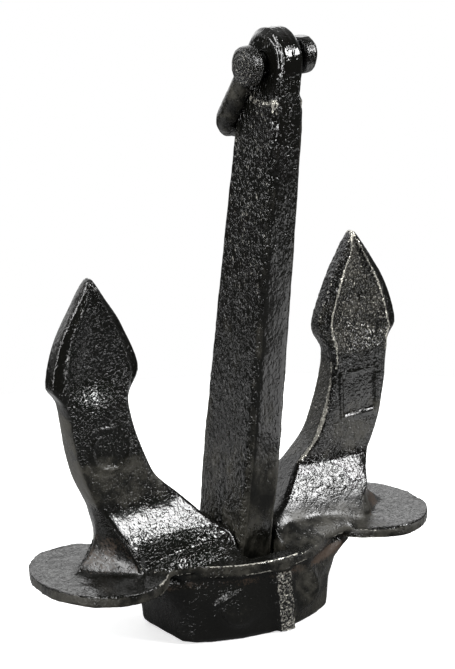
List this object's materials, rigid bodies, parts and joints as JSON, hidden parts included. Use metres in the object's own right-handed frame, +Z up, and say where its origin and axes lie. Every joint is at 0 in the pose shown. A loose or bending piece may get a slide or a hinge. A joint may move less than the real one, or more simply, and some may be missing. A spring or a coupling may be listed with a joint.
{
  "type": "stockless anchor",
  "caption": "Cast Hall pattern stockless anchor in worn glossy black paint: fluke head that swivels on a shank with a D shackle.",
  "frame": {"origin": "middle of the footprint of the whole anchor on the floor, standing on the flat underside of its crown with the shank leaning forward", "axes": "+Z up, X from fluke to fluke along the crown pin, -Y the front that the shank leans over"},
  "size_m": [0.448, 0.2195, 0.6186],
  "materials": {
    "head_paint": "glossy black paint over rough sand-cast steel, worn and rusty on edges",
    "shank_paint": "glossy black paint over grainy cast steel",
    "pin_paint": "black paint over turned steel",
    "shackle_paint": "satin black paint over forged steel"
  },
  "bodies": {
    "head": {"head": "head_paint", "stop_pin_left": "pin_paint", "stop_pin_right": "pin_paint"},
    "shank": {"shank": "shank_paint", "crown_pin": "pin_paint"},
    "shackle": {"shackle": "shackle_paint", "shackle_pin": "shackle_paint"}
  },
  "joints": [
    {"name": "shank_tilt", "type": "hinge", "parent": "head", "child": "shank", "pos_m": [0, 0.022, 0.072], "axis": [1, 0, 0], "range_deg": [-51.1, 28.9]},
    {"name": "shackle_swing", "type": "hinge", "parent": "shank", "child": "shackle", "pos_m": [0, -0.07907, 0.58718], "axis": [1, 0, 0], "range_deg": [0, 300]}
  ]
}
